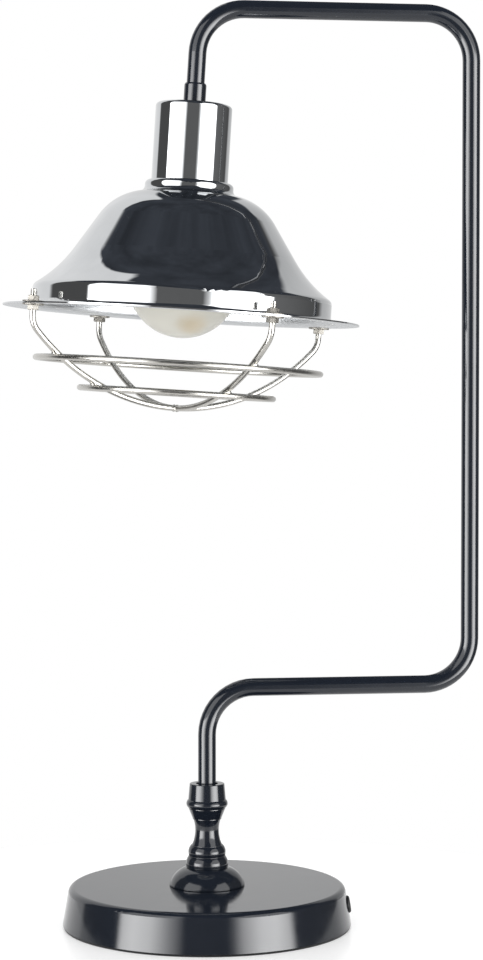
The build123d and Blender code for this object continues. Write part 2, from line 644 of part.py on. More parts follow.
# Bell shade: flange, upright band, flared cone, round shoulder and a stepped neck for the cup
CONE_NORMAL = (cos(radians(CONE_ANGLE)), sin(radians(CONE_ANGLE)))
SHOULDER_CENTRE = (SHOULDER_CENTRE_RADIUS, SHOULDER_TOP - SHOULDER_RADIUS)
SHOULDER_END = (
    SHOULDER_CENTRE[0] + SHOULDER_RADIUS * CONE_NORMAL[0],
    SHOULDER_CENTRE[1] + SHOULDER_RADIUS * CONE_NORMAL[1],
)


def shoulder_height(radius):
    """Height of the round shoulder above a radius."""
    return SHOULDER_CENTRE[1] + sqrt(SHOULDER_RADIUS ** 2 - (radius - SHOULDER_CENTRE[0]) ** 2)


# The flare is tangent to the cone and ends on the band's upper corner, which sets the cone's length.
corner = (BAND_RADIUS, BAND_HEIGHT)
along = (
    (corner[0] - SHOULDER_END[0]) * sin(radians(CONE_ANGLE))
    - (corner[1] - SHOULDER_END[1]) * cos(radians(CONE_ANGLE))
)
across = (
    (corner[0] - SHOULDER_END[0]) * CONE_NORMAL[0] + (corner[1] - SHOULDER_END[1]) * CONE_NORMAL[1]
)
cone_length = along - sqrt(across * (2 * SHADE_FLARE_RADIUS - across))
CONE_END = (
    SHOULDER_END[0] + cone_length * sin(radians(CONE_ANGLE)),
    SHOULDER_END[1] - cone_length * cos(radians(CONE_ANGLE)),
)
FLARE_CENTRE = (
    CONE_END[0] + SHADE_FLARE_RADIUS * CONE_NORMAL[0],
    CONE_END[1] + SHADE_FLARE_RADIUS * CONE_NORMAL[1],
)
flare_end_angle = degrees(atan2(corner[1] - FLARE_CENTRE[1], corner[0] - FLARE_CENTRE[0]))
flare_middle_angle = (CONE_ANGLE - 180 + flare_end_angle) / 2
FLARE_MIDDLE = (
    FLARE_CENTRE[0] + SHADE_FLARE_RADIUS * cos(radians(flare_middle_angle)),
    FLARE_CENTRE[1] + SHADE_FLARE_RADIUS * sin(radians(flare_middle_angle)),
)
SHOULDER_START = (SHADE_NECK_RADIUS, shoulder_height(SHADE_NECK_RADIUS))
middle_radius = (SHADE_NECK_RADIUS + SHOULDER_END[0]) / 2
SHOULDER_MIDDLE = (middle_radius, shoulder_height(middle_radius))
HOLDER_HOLE_RADIUS = HOLDER_RADIUS + HOLE_GAP
with BuildPart() as shade:
    with BuildSketch(HEAD_PROFILE):
        with BuildLine() as shade_line:
            Polyline((HOLDER_HOLE_RADIUS, SHADE_TOP), (SHADE_NECK_RADIUS, SHADE_TOP), SHOULDER_START)
            ThreePointArc(SHOULDER_START, SHOULDER_MIDDLE, SHOULDER_END)
            Line(SHOULDER_END, CONE_END)
            ThreePointArc(CONE_END, FLARE_MIDDLE, corner)
            Polyline(corner, (BAND_RADIUS, SHADE_SHEET), (FLANGE_RADIUS, SHADE_SHEET))
            for point, radius in (
                ((SHADE_NECK_RADIUS, SHADE_TOP), NECK_CORNER_RADIUS),
                (SHOULDER_START, NECK_ROOT_RADIUS),
                (corner, BAND_CORNER_RADIUS),
                ((BAND_RADIUS, SHADE_SHEET), FLANGE_CORNER_RADIUS),
            ):
                fillet(shade_line.vertices().sort_by_distance(point)[0], radius)
            offset(amount=SHADE_SHEET, side=Side.RIGHT)
        make_face()
    revolve(axis=HEAD_AXIS)
    with BuildSketch(HEAD):
        with PolarLocations(LEG_CIRCLE_RADIUS, GUARD_LEGS, start_angle=GUARD_ANGLE):
            Circle(WIRE_RADIUS + HOLE_GAP)
    extrude(amount=2 * SHADE_SHEET, both=True, mode=Mode.SUBTRACT)
save(shade, "shade")

# Ring that clamps the shade's top plate to the lampholder
shade_ring = ring(
    HEAD.offset(SHADE_TOP - SHADE_SHEET - SHADE_RING_HEIGHT),
    SHADE_RING_HEIGHT,
    SHADE_RING_RADIUS,
    HOLDER_RADIUS + THREAD_GAP,
)
save(shade_ring, "shade_ring")

# Lampholder body: threaded skirt, shoulder above the shade and a floor for the contact
HOLDER_BORE_RADIUS = SHELL_RADIUS + SEAT_GAP
with BuildPart() as lampholder_body:
    with BuildSketch(HEAD_PROFILE):
        with BuildLine():
            Polyline(
                (HOLDER_BORE_RADIUS + 2 * SHELL_WALL, HOLDER_BOTTOM),
                (HOLDER_RADIUS, HOLDER_BOTTOM),
                (HOLDER_RADIUS, SHADE_TOP),
                (HOLDER_SHOULDER_RADIUS, SHADE_TOP),
                (HOLDER_SHOULDER_RADIUS, SHADE_TOP + HOLDER_SHOULDER_HEIGHT),
                (HOLDER_RADIUS, SHADE_TOP + HOLDER_SHOULDER_HEIGHT),
                (HOLDER_RADIUS, HOLDER_TOP),
                (SWITCH_SHAFT_RADIUS, HOLDER_TOP),
                (SWITCH_SHAFT_RADIUS, HOLDER_CEILING),
                (HOLDER_BORE_RADIUS, HOLDER_CEILING),
                (HOLDER_BORE_RADIUS, SHELL_BOTTOM),
                (HOLDER_BORE_RADIUS + 2 * SHELL_WALL, SHELL_BOTTOM),
                close=True,
            )
        make_face()
    revolve(axis=HEAD_AXIS)
save(lampholder_body, "lampholder_body")

# Lampholder cap: screwed on the head's rod, hollow for the wires and the switch
with BuildPart() as lampholder_cap:
    with BuildSketch(HEAD_PROFILE):
        with BuildLine():
            Polyline(
                (HOLDER_CAP_RADIUS - HOLDER_CAP_WALL, HOLDER_TOP),
                (HOLDER_CAP_RADIUS, HOLDER_TOP),
                (HOLDER_CAP_RADIUS, HOLDER_CAP_TOP),
                (HOLDER_BOSS_RADIUS, HOLDER_CAP_TOP),
                (HOLDER_BOSS_RADIUS, HEAD_NUT_BOTTOM),
                (ROD_RADIUS + THREAD_GAP, HEAD_NUT_BOTTOM),
                (ROD_RADIUS + THREAD_GAP, HOLDER_CAP_TOP - HOLDER_CAP_WALL),
                (HOLDER_CAP_RADIUS - HOLDER_CAP_WALL, HOLDER_CAP_TOP - HOLDER_CAP_WALL),
                close=True,
            )
        make_face()
    revolve(axis=HEAD_AXIS)
    with BuildSketch(SWITCH):
        Circle(SWITCH_SHAFT_RADIUS + RUNNING_GAP)
    extrude(amount=HOLDER_CAP_RADIUS, mode=Mode.SUBTRACT)
save(lampholder_cap, "lampholder_cap")

# Brass screw shell and centre contact inside the lampholder
lampholder_shell = ring(HEAD.offset(SHELL_BOTTOM), SHELL_LENGTH, SHELL_RADIUS, SHELL_RADIUS - SHELL_WALL)
save(lampholder_shell, "lampholder_shell")
with BuildPart() as centre_contact:
    with BuildSketch(HEAD.offset(HOLDER_CEILING)):
        SlotOverall(CONTACT_LENGTH, CONTACT_WIDTH)
    extrude(amount=-CONTACT_HEIGHT)
save(centre_contact, "centre_contact")

# Rotary switch: shaft, ferrule in the cup's wall and fluted knob
SWITCH_INNER = HOLDER_CAP_RADIUS - HOLDER_CAP_WALL - SWITCH_SHAFT_RADIUS
KNOB_INNER = CUP_RADIUS + SWITCH_FERRULE_HEAD + KNOB_STANDOFF
with BuildPart() as switch_shaft:
    with BuildSketch(SWITCH.offset(SWITCH_INNER)):
        Circle(SWITCH_SHAFT_RADIUS)
    extrude(amount=KNOB_INNER + KNOB_BORE_DEPTH - SWITCH_INNER)
save(switch_shaft, "switch_shaft")

with BuildPart() as switch_ferrule:
    with BuildSketch(SWITCH.offset(CUP_RADIUS)):
        Circle(SWITCH_FERRULE_RADIUS)
        Circle(SWITCH_SHAFT_RADIUS + RUNNING_GAP, mode=Mode.SUBTRACT)
    extrude(amount=SWITCH_FERRULE_HEAD)
    with BuildSketch(SWITCH.offset(CUP_RADIUS)):
        Circle(SWITCH_HOLE_RADIUS - SEAT_GAP)
        Circle(SWITCH_SHAFT_RADIUS + RUNNING_GAP, mode=Mode.SUBTRACT)
    extrude(amount=-2 * CUP_SHEET)
save(switch_ferrule, "switch_ferrule")

with BuildPart() as switch_knob:
    with BuildSketch(SWITCH.offset(KNOB_INNER)):
        Circle(KNOB_RADIUS)
        with PolarLocations(KNOB_RADIUS, KNOB_FLUTES):
            Circle(KNOB_FLUTE_RADIUS, mode=Mode.SUBTRACT)
    extrude(amount=KNOB_LENGTH)
    with BuildSketch(SWITCH.offset(KNOB_INNER)):
        Circle(SWITCH_SHAFT_RADIUS + SEAT_GAP)
    extrude(amount=KNOB_BORE_DEPTH, mode=Mode.SUBTRACT)
save(switch_knob, "switch_knob")

# Bulb glass: a ball that draws in to a neck, open at the top where the cap holds it
BULB_SHOULDER = (
    BULB_RADIUS * cos(radians(BULB_SHOULDER_ANGLE)),
    BULB_CENTRE + BULB_RADIUS * sin(radians(BULB_SHOULDER_ANGLE)),
)
with BuildPart() as bulb_glass:
    with BuildSketch(HEAD_PROFILE):
        with BuildLine():
            ball = ThreePointArc((0, -BULB_REACH), (BULB_RADIUS, BULB_CENTRE), BULB_SHOULDER)
            TangentArc(BULB_SHOULDER, (BULB_NECK_RADIUS, BULB_CAP_BOTTOM), tangent=ball % 1)
            Line((BULB_NECK_RADIUS, BULB_CAP_BOTTOM), (BULB_NECK_RADIUS, BULB_NECK_TOP))
            offset(amount=BULB_GLASS, side=Side.LEFT)
        make_face()
    revolve(axis=HEAD_AXIS)
save(bulb_glass, "bulb_glass")

# Bulb cap, its black insulator and its solder tip
BULB_INSULATOR_RADIUS = BULB_CAP_RADIUS - BULB_INSULATOR_HEIGHT
with BuildPart() as bulb_cap:
    with BuildSketch(HEAD.offset(BULB_CAP_BOTTOM)):
        Circle(BULB_CAP_RADIUS)
    extrude(amount=BULB_CAP_LENGTH)
    fillet(bulb_cap.faces().sort_by(HEAD_AXIS)[-1].edges(), BULB_INSULATOR_HEIGHT)
    offset(amount=-BULB_CAP_WALL, openings=bulb_cap.faces().sort_by(HEAD_AXIS)[0])
save(bulb_cap, "bulb_cap")
with BuildPart() as bulb_insulator:
    with BuildSketch(HEAD.offset(BULB_CAP_TOP)):
        Circle(BULB_INSULATOR_RADIUS)
    extrude(amount=BULB_INSULATOR_HEIGHT)
    fillet(bulb_insulator.faces().sort_by(HEAD_AXIS)[-1].edges(), BULB_INSULATOR_HEIGHT / 2)
save(bulb_insulator, "bulb_insulator")
with BuildPart() as bulb_tip:
    with BuildSketch(HEAD.offset(BULB_CAP_TOP + BULB_INSULATOR_HEIGHT)):
        Circle(BULB_TIP_RADIUS)
    extrude(amount=BULB_TIP_HEIGHT)
    fillet(bulb_tip.faces().sort_by(HEAD_AXIS)[-1].edges(), BULB_TIP_HEIGHT / 2)
save(bulb_tip, "bulb_tip")

# Glass stem in the bulb's neck, with two leads and an arched filament
STEM_BOTTOM = BULB_NECK_TOP - STEM_LENGTH
FILAMENT_BOTTOM = STEM_BOTTOM - FILAMENT_DROP
with BuildPart() as bulb_stem:
    with BuildSketch(HEAD.offset(STEM_BOTTOM)):
        Circle(STEM_RADIUS)
    extrude(amount=STEM_LENGTH)
    with BuildSketch(HEAD.offset(BULB_NECK_TOP - STEM_FLARE)):
        Circle(BULB_NECK_RADIUS - BULB_GLASS - SEAT_GAP)
    extrude(amount=STEM_FLARE)
save(bulb_stem, "bulb_stem")
with BuildPart() as bulb_leads:
    with BuildSketch(HEAD.offset(STEM_BOTTOM)):
        with GridLocations(FILAMENT_SPAN, 0, 2, 1):
            Circle(LEAD_RADIUS)
    extrude(amount=-FILAMENT_DROP)
save(bulb_leads, "bulb_leads")
with BuildPart() as bulb_filament:
    with BuildLine(HEAD_PROFILE) as filament_route:
        CenterArc((0, FILAMENT_BOTTOM), FILAMENT_SPAN / 2, 180, 180)
    with BuildSketch(Plane(origin=filament_route.line @ 0, z_dir=HEAD.z_dir)):
        Circle(FILAMENT_RADIUS)
    sweep(path=filament_route.wires()[0])
save(bulb_filament, "bulb_filament")


# Guard wires: one whole U and two halves that butt against it at the bottom
def leg_plane(index):
    """Upright plane through one leg, with the leg on its +x side."""
    side = HEAD.x_dir.rotate(Axis((0, 0, 0), HEAD.z_dir), GUARD_ANGLE + 360 / GUARD_LEGS * index)
    return Plane(origin=HEAD.origin, x_dir=side, z_dir=side.cross(HEAD.z_dir))


def draw_leg(bowl_arc):
    """A guard wire's leg: down from the thread end, round the bend and along the bowl."""
    Line((LEG_CIRCLE_RADIUS, LEG_TOP), (LEG_CIRCLE_RADIUS, BEND_CENTRE_Y))
    CenterArc((BEND_CENTRE_X, BEND_CENTRE_Y), LEG_BEND_RADIUS, 0, BOWL_HALF_ANGLE - 90)
    CenterArc((0, BOWL_CENTRE), BOWL_RADIUS, BOWL_HALF_ANGLE - 90, -bowl_arc)


with BuildPart() as guard_long_wire:
    with BuildLine(leg_plane(0)) as long_route:
        draw_leg(2 * BOWL_HALF_ANGLE)
        CenterArc(
            (-BEND_CENTRE_X, BEND_CENTRE_Y), LEG_BEND_RADIUS, -90 - BOWL_HALF_ANGLE, BOWL_HALF_ANGLE - 90
        )
        Line((-LEG_CIRCLE_RADIUS, BEND_CENTRE_Y), (-LEG_CIRCLE_RADIUS, LEG_TOP))
    with BuildSketch(Plane(origin=long_route.wires()[0] @ 0, z_dir=HEAD.z_dir)):
        Circle(WIRE_RADIUS)
    sweep(path=long_route.wires()[0])
save(guard_long_wire, "guard_long_wire")

BUTT_ANGLE = degrees(asin((WIRE_RADIUS + WELD_GAP) / BOWL_RADIUS))
with BuildPart() as guard_short_wires:
    for index in (1, 3):
        with BuildLine(leg_plane(index)) as short_route:
            draw_leg(BOWL_HALF_ANGLE - BUTT_ANGLE)
        with BuildSketch(Plane(origin=short_route.wires()[0] @ 0, z_dir=HEAD.z_dir)):
            Circle(WIRE_RADIUS)
        sweep(path=short_route.wires()[0])
save(guard_short_wires, "guard_short_wires")

# Guard rings, welded round the outside of the legs
RING_REACH = BOWL_RADIUS + 2 * WIRE_RADIUS + WELD_GAP
for name, share in (("guard_upper_ring", UPPER_RING_SHARE), ("guard_lower_ring", LOWER_RING_SHARE)):
    ring_angle = radians(BOWL_HALF_ANGLE * share)
    with BuildPart() as guard_ring:
        with BuildSketch(HEAD_PROFILE):
            with Locations((RING_REACH * sin(ring_angle), BOWL_CENTRE - RING_REACH * cos(ring_angle))):
                Circle(WIRE_RADIUS)
        revolve(axis=HEAD_AXIS)
    save(guard_ring, name)

# Washers and nuts above and below the flange, four of each on the legs
for name, bottom in (
    ("guard_upper_washers", SHADE_SHEET),
    ("guard_lower_washers", -GUARD_WASHER_HEIGHT),
):
    with BuildPart() as washers:
        with BuildSketch(HEAD.offset(bottom)):
            with PolarLocations(LEG_CIRCLE_RADIUS, GUARD_LEGS, start_angle=GUARD_ANGLE):
                Circle(GUARD_WASHER_RADIUS)
                Circle(WIRE_RADIUS + HOLE_GAP, mode=Mode.SUBTRACT)
        extrude(amount=GUARD_WASHER_HEIGHT)
    save(washers, name)
for name, bottom in (
    ("guard_upper_nuts", SHADE_SHEET + GUARD_WASHER_HEIGHT),
    ("guard_lower_nuts", -GUARD_WASHER_HEIGHT - GUARD_NUT_HEIGHT),
):
    with BuildPart() as nuts:
        with BuildSketch(HEAD.offset(bottom)):
            with PolarLocations(LEG_CIRCLE_RADIUS, GUARD_LEGS, start_angle=GUARD_ANGLE):
                RegularPolygon(radius=GUARD_NUT_FLATS / 2, side_count=6, major_radius=False)
                Circle(WIRE_RADIUS + THREAD_GAP, mode=Mode.SUBTRACT)
        extrude(amount=GUARD_NUT_HEIGHT)
    save(nuts, name)
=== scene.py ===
import math

import bmesh
import bpy
from bpy.props import FloatProperty, FloatVectorProperty, IntProperty, PointerProperty
from bpy.types import Node, NodeSocket, Operator, Panel, PropertyGroup
from mathutils import Matrix, Vector, noise


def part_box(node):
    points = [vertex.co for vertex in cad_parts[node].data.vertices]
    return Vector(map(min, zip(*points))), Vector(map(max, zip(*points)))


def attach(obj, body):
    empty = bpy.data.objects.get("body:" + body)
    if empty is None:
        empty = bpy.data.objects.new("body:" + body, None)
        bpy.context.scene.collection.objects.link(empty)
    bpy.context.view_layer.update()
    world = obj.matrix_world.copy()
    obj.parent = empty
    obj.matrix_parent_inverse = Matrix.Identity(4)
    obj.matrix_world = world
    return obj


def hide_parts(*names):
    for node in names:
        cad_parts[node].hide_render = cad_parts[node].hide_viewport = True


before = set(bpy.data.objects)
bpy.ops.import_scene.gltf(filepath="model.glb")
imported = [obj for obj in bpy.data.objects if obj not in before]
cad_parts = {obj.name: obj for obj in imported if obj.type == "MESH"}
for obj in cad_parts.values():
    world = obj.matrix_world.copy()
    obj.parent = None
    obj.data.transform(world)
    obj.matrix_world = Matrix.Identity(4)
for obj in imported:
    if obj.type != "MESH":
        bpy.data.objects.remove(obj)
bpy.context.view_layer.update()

bl_info = {
    "name": "Caged task lamp",
    "version": (1, 0, 0),
    "blender": (4, 5, 0),
    "location": "3D View > Sidebar > Lamp",
    "description": "Finishes the packed task lamp and sets it in a plain studio",
    "category": "Object",
}

MM = 0.001

# The head's frame: its origin is the middle of the flange's underside, and its z axis is the head's axis
HEAD_TILT = math.radians(3.6)
HEAD_UP = Vector((math.sin(HEAD_TILT), 0.0, math.cos(HEAD_TILT)))
ARM_END = Vector((-4.3, 0.0, 614.0)) * MM
HEAD_DROP = 204.9 * MM
HEAD_ORIGIN = ARM_END - HEAD_UP * HEAD_DROP
HEAD_FRAME = Matrix.Translation(HEAD_ORIGIN) @ Matrix.Rotation(HEAD_TILT, 4, "Y")
GUARD_MIDDLE_DROP = 25.0 * MM
GUARD_MIDDLE = HEAD_ORIGIN - HEAD_UP * GUARD_MIDDLE_DROP

# The guard in the head's frame, as the solids have it
SHADE_SHEET = 0.9 * MM
LEG_COUNT = 4
LEG_ANGLE = math.radians(24.4)
LEG_CIRCLE = 111.4 * MM
WIRE_RADIUS = 2.0 * MM
WASHER_RADIUS = 7.0 * MM
WASHER_HEIGHT = 1.0 * MM
NUT_FLATS = 7.0 * MM
NUT_HEIGHT = 3.2 * MM
THREAD_END = 4.0 * MM
BOWL_RADIUS = 151.6 * MM
BOWL_CENTRE = 90.0 * MM
RING_ANGLES = (math.radians(37.63), math.radians(24.51))
NUT_GAP = 0.03 * MM
WASHER_GAP = 0.2 * MM

# The base's wall and the place of the bushing in it
BASE_RADIUS = 97.0 * MM
WALL_FOOT = 1.5 * MM
WALL_HEIGHT = 25.5 * MM
WALL_TAPER = 4.2 * MM
WALL_LEAN = WALL_TAPER / WALL_HEIGHT
EXIT_ANGLE = math.radians(-10.0)
EXIT_HEIGHT = 14.5 * MM
EXIT_RADIUS = BASE_RADIUS - WALL_LEAN * (EXIT_HEIGHT - WALL_FOOT)

# Names of the finishes that several makers use
NICKEL_WIRE = "Nickel plate, bright, on drawn wire"
NICKEL_HARDWARE = "Nickel plate, barrelled, on cut steel"
RUBBER = "Rubber, moulded"
PHENOLIC = "Phenolic, moulded"

# Inputs of a Mix node that mixes colours
FACTOR = 0
FIRST = 6
SECOND = 7
WHITE = (1.0, 1.0, 1.0, 1.0)

# Most values of a noise lie in this range
NOISE_RANGE = {"From Min": 0.3, "From Max": 0.7}


def linear(code):
    """Linear colour of an sRGB hex value."""
    parts = [int(code[i:i + 2], 16) / 255 for i in (1, 3, 5)]
    return tuple(c / 12.92 if c <= 0.04045 else ((c + 0.055) / 1.055) ** 2.4 for c in parts)


def colour(code, name, description):
    """A colour that a user can change."""
    return FloatVectorProperty(
        name=name, description=description, default=linear(code), subtype="COLOR", size=3, min=0.0, max=1.0
    )


def length(millimetres, name, description):
    """A length that a user can change."""
    return FloatProperty(
        name=name, description=description, default=millimetres * MM, min=0.0, precision=5, unit="LENGTH"
    )


class LampColours(PropertyGroup):
    """Colours of the lamp's finishes."""

    enamel: colour("#1b2029", "Enamel", "Coat of the base, the column and the arm")
    chrome: colour("#c8cacc", "Chrome", "Plating of the cup and the shade")
    nickel: colour("#b9b7b2", "Nickel", "Plating of the guard's wires")
    hardware: colour("#98958f", "Hardware", "Plating of the guard's nuts and washers")
    zinc: colour("#b9bcc0", "Zinc", "Plating of the hidden rods, nuts and washers")
    iron: colour("#4a4846", "Iron", "Casting in the base")
    fibre: colour("#5b4a3a", "Fibre board", "Closing plate of the base")
    felt: colour("#1d1e20", "Felt", "Pad under the base")
    rubber: colour("#1b1c1e", "Rubber", "Cord bushing")
    nylon: colour("#ddd8c8", "Nylon", "Bushes and thrust washer of the swivel")
    phenolic: colour("#1b1816", "Phenolic", "Lampholder and switch knob")
    brass: colour("#d6b060", "Brass", "Screw shell and centre contact")
    bulb: colour("#edebe0", "Bulb", "Frosted glass of the bulb")
    # Painted shade: the warm tint of the stem and filament seen through the frost
    inner_shade: colour("#d9b878", "Amber", "Warm tint low in the bulb")
    glass: colour("#eef2ee", "Glass", "Clear stem in the bulb")
    aluminium: colour("#cfd0d0", "Aluminium", "Screw cap of the bulb")
    vitrite: colour("#15161c", "Vitrite", "Insulator on the bulb's cap")
    filament: colour("#8a7f70", "Filament", "Leads and filament of the bulb")


class LampSizes(PropertyGroup):
    """Sizes of the details that the scene adds to the solids."""

    nut_chamfer: FloatProperty(
        name="Nut chamfer", description="Slope of a nut's chamfered corners", default=math.radians(30),
        subtype="ANGLE",
    )
    thread_pitch: length(0.7, "Thread pitch", "From one ridge of the thread to the next")
    thread_crest: length(0.16, "Thread crest", "How far the thread's ridge stands out of the wire")
    weld_reach: length(3.0, "Weld", "From the middle of a weld's lump of metal to its end")
    knob_flutes: IntProperty(
        name="Knob flutes", description="Grooves round the switch knob", default=12, min=3
    )
    knob_flute_depth: length(0.85, "Flute depth", "Of the grooves round the switch knob")


class LampStudio(PropertyGroup):
    """The camera and the studio round the lamp."""

    camera_distance: length(1650.5, "Camera distance", "From the column to the camera, along the view")
    camera_height: length(359.1, "Camera height", "Of the camera above the floor")
    camera_aside: length(23.2, "Camera aside", "How far the view passes to the right of the column")
    camera_turn: FloatProperty(
        name="Camera turn", description="Round the lamp, towards -X", default=math.radians(8.142),
        unit="ROTATION",
    )
    camera_pitch: FloatProperty(
        name="Camera pitch", description="Below the horizon", default=math.radians(2.053), unit="ROTATION"
    )
    camera_lens: FloatProperty(
        name="Lens", description="Focal length on a 36 mm sensor", default=92.44, min=1.0, unit="CAMERA"
    )
    floor_radius: length(320, "Floor", "Radius of the round table top")
    box_light: FloatProperty(
        name="Soft boxes", description="Radiance of the two soft boxes beside the camera", default=11.0,
        min=1.0,
    )
    room_light: FloatProperty(
        name="Room", description="Radiance of the even light that dull surfaces see", default=0.8, min=0.0
    )
    overhead_power: FloatProperty(
        name="Overhead", description="Power of the overhead light that dull surfaces see", default=12.0,
        min=0.0, unit="POWER",
    )
    fill_power: FloatProperty(
        name="Fill", description="Power of the low fill that dull surfaces see", default=9.5, min=0.0,
        unit="POWER",
    )


def add(tree, kind, inputs=None, **settings):
    """Add a node with its settings. An input gets a value, a socket, or a node's first output in use."""
    node = tree.nodes.new(kind)
    for name, value in settings.items():
        setattr(node, name, value)
    for name, value in (inputs or {}).items():
        if isinstance(value, Node):
            value = next(socket for socket in value.outputs if socket.enabled)
        if isinstance(value, NodeSocket):
            tree.links.new(value, node.inputs[name])
        else:
            node.inputs[name].default_value = value
    return node


def per_metre(millimetres):
    """Texture scale that repeats a pattern once in so many millimetres."""
    return 1.0 / (millimetres * MM)


def shaded(tone, share):
    """A colour made darker or lighter by a share, with its alpha."""
    return (*(min(1.0, c * share) for c in tone), 1.0)


def new_material(name):
    """An empty node material: returns it with its tree and the coordinates of the piece."""
    material = bpy.data.materials.new(name)
    material.use_nodes = True
    material.node_tree.nodes.clear()
    place = add(material.node_tree, "ShaderNodeTexCoord").outputs["Object"]
    return material, material.node_tree, place


def close_material(tree, inputs, constants):
    """Finish a material with one Principled shader."""
    named = {key.replace("_", " "): value for key, value in constants.items()}
    shader = add(tree, "ShaderNodeBsdfPrincipled", {**inputs, **named})
    add(tree, "ShaderNodeOutputMaterial", {"Surface": shader})


def polished(name, tone, rough, haze_mm, ripple_mm, ripple_depth_mm, inside=None, **constants):
    """A smooth plated or enamelled skin: patches of haze, and a slow ripple that bends reflections.
    Faces that look back to the middle of the guard, so the shade's inside, can have a duller finish."""
    material, tree, place = new_material(name)
    haze = add(tree, "ShaderNodeTexNoise", {"Vector": place, "Scale": per_metre(haze_mm), "Detail": 5.0})
    gloss = add(
        tree, "ShaderNodeMapRange", {"Value": haze, **NOISE_RANGE, "To Min": rough[0], "To Max": rough[1]}
    )
    if inside:
        blend = 5 * MM
        normal = add(tree, "ShaderNodeTexCoord").outputs["Normal"]
        outward = add(tree, "ShaderNodeVectorMath", {0: place, 1: GUARD_MIDDLE}, operation="SUBTRACT")
        facing = add(tree, "ShaderNodeVectorMath", {0: normal, 1: outward}, operation="DOT_PRODUCT")
        gloss = add(
            tree, "ShaderNodeMapRange",
            {"Value": facing, "From Min": 0.0, "From Max": -blend, "To Min": gloss, "To Max": inside},
        )
    contrast = 0.07
    tint = add(
        tree, "ShaderNodeMix",
        {FACTOR: haze, FIRST: shaded(tone, 1.0 - contrast), SECOND: shaded(tone, 1.0 + contrast)},
        data_type="RGBA",
    )
    ripple = add(
        tree, "ShaderNodeTexNoise", {"Vector": place, "Scale": per_metre(ripple_mm), "Detail": 0.5}
    )
    waves = add(
        tree, "ShaderNodeBump", {"Height": ripple, "Distance": ripple_depth_mm * MM, "Strength": 1.0}
    )
    close_material(
        tree, {"Base Color": tint, "Roughness": gloss, "Normal": waves}, {"Metallic": 1.0, **constants}
    )
    return material


def grainy(name, tone, rough, grain_mm, depth_mm, contrast, **constants):
    """A dull or moulded surface: fine light and dark grain, a broken gloss and a shallow relief.
    Grain that is finer than a pixel on the real material is drawn about a pixel wide, so that it shows."""
    material, tree, place = new_material(name)
    grain = add(
        tree, "ShaderNodeTexNoise",
        {"Vector": place, "Scale": per_metre(grain_mm), "Detail": 6.0, "Roughness": 0.6},
    )
    tint = add(
        tree, "ShaderNodeMix",
        {FACTOR: grain, FIRST: shaded(tone, 1.0 - contrast), SECOND: shaded(tone, 1.0 + contrast)},
        data_type="RGBA",
    )
    gloss = add(
        tree, "ShaderNodeMapRange", {"Value": grain, **NOISE_RANGE, "To Min": rough[0], "To Max": rough[1]}
    )
    relief = add(tree, "ShaderNodeBump", {"Height": grain, "Distance": depth_mm * MM, "Strength": 1.0})
    close_material(tree, {"Base Color": tint, "Roughness": gloss, "Normal": relief}, constants)
    return material


def frosted_glass(name, tone, inner_shade):
    """Inside-frosted glass: a milky skin that scatters light, with a warm painted shade low in the middle,
    where the stem and filament show through the frost.
    """
    material, tree, place = new_material(name)
    # Painted shade: a warm, darker spot low in the bulb stands for the stem and filament seen through the
    # frost
    shade_spot = HEAD_FRAME @ (Vector((4, -22, -6)) * MM)
    full_within = 8 * MM
    gone_beyond = 22 * MM
    strength = 0.4
    wander = 14 * MM
    cloud_mm = 16
    # Real frost is finer, and is drawn about a pixel wide, so that it shows
    frost_mm = 0.6
    away = add(tree, "ShaderNodeVectorMath", {0: place, 1: shade_spot}, operation="DISTANCE")
    cloud = add(tree, "ShaderNodeTexNoise", {"Vector": place, "Scale": per_metre(cloud_mm), "Detail": 3.0})
    reach = add(tree, "ShaderNodeMath", {0: cloud, 1: wander, 2: away}, operation="MULTIPLY_ADD")
    shade_share = add(
        tree, "ShaderNodeMapRange",
        {
            "Value": reach, "From Min": full_within, "From Max": gone_beyond, "To Min": strength,
            "To Max": 0.0,
        },
        interpolation_type="SMOOTHSTEP",
    )
    tint = add(
        tree, "ShaderNodeMix", {FACTOR: shade_share, FIRST: (*tone, 1.0), SECOND: (*inner_shade, 1.0)}, data_type="RGBA"
    )
    frost = add(
        tree, "ShaderNodeTexNoise", {"Vector": place, "Scale": per_metre(frost_mm), "Detail": 2.0}
    )
    gloss = add(
        tree, "ShaderNodeMapRange", {"Value": frost, **NOISE_RANGE, "To Min": 0.16, "To Max": 0.24}
    )
    close_material(
        tree, {"Base Color": tint, "Roughness": gloss}, {"IOR": 1.5, "Transmission_Weight": 0.12}
    )
    return material


def dress(material, *nodes):
    """Give CAD nodes a material."""
    for name in nodes:
        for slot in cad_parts[name].material_slots:
            slot.material = material


def add_turned(bm, section, place, steps):
    """Carry a closed section, (radius, height) points at each angle, once round the z axis of a place."""
    rings = []
    for step in range(steps):
        angle = math.tau * step / steps
        along = Vector((math.cos(angle), math.sin(angle), 0.0))
        rings.append([bm.verts.new(place @ (along * r + Vector((0, 0, h)))) for r, h in section(angle)])
    for step, ring in enumerate(rings):
        after = rings[(step + 1) % steps]
        for i in range(len(ring)):
            bm.faces.new((ring[i - 1], ring[i], after[i], after[i - 1]))


def make_piece(name, bm, finish, body, crease, replaced=()):
    """Turn a bmesh into a smooth piece with creases, and tie it to its body."""
    same = 1e-7
    bmesh.ops.remove_doubles(bm, verts=bm.verts, dist=same)
    bmesh.ops.dissolve_degenerate(bm, edges=bm.edges, dist=same)
    bmesh.ops.recalc_face_normals(bm, faces=bm.faces)
    mesh = bpy.data.meshes.new(name)
    bm.to_mesh(mesh)
    bm.free()
    mesh.shade_smooth()
    mesh.set_sharp_from_angle(angle=math.radians(crease))
    mesh.materials.append(bpy.data.materials[finish])
    piece = bpy.data.objects.new(name, mesh)
    bpy.context.scene.collection.objects.link(piece)
    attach(piece, body)
    if replaced:
        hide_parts(*replaced)


def leg_turns():
    """The turn of each of the guard's legs round the head's axis."""
    return [Matrix.Rotation(LEG_ANGLE + math.tau * index / LEG_COUNT, 4, "Z") for index in range(LEG_COUNT)]


